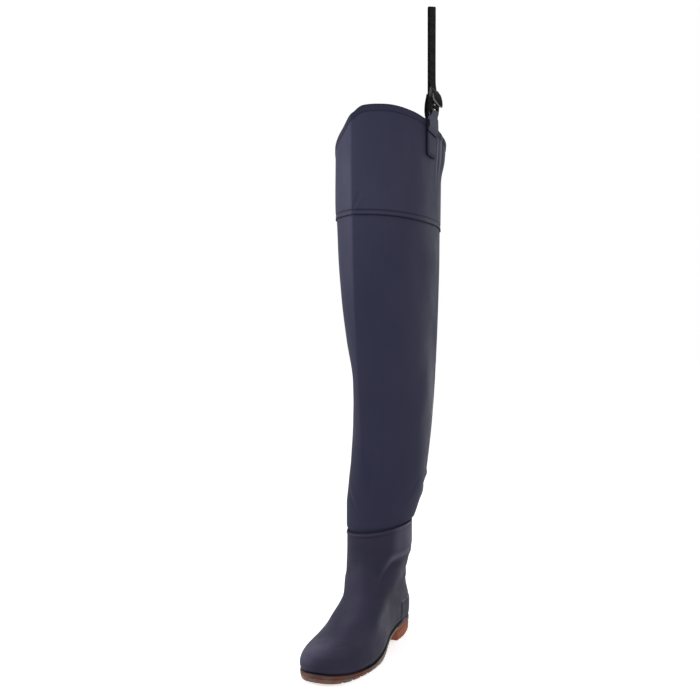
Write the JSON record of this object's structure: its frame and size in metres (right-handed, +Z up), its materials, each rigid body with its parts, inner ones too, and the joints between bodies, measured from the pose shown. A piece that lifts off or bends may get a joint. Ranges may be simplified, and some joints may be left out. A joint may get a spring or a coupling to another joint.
{
  "type": "hip wader",
  "caption": "Left hip wader: a short moulded boot with a grooved heeled sole, a welded coated-cloth leg, a lapped thigh panel and a buckled belt strap.",
  "frame": {"origin": "on the floor, at the middle of the heel tread's middle lug", "axes": "+Z up along the leg, -Y towards the toe, +X towards the outer side of the left leg"},
  "size_m": [0.1589, 0.4281, 1.018],
  "materials": {
    "boot_pvc": "satin moulded navy",
    "leg_cloth": "coated navy cloth, soft sheen",
    "sole_gum": "matt red-brown gum",
    "insole_felt": "dark felt",
    "webbing": "black woven webbing",
    "buckle_plastic": "black moulded plastic"
  },
  "bodies": {
    "root": {"outsole": "sole_gum", "insole": "insole_felt", "boot_upper": "boot_pvc", "leg_tube": "leg_cloth", "thigh_panel": "leg_cloth", "strap_tab": "leg_cloth", "buckle": "buckle_plastic", "belt_loop": "webbing"}
  },
  "joints": []
}
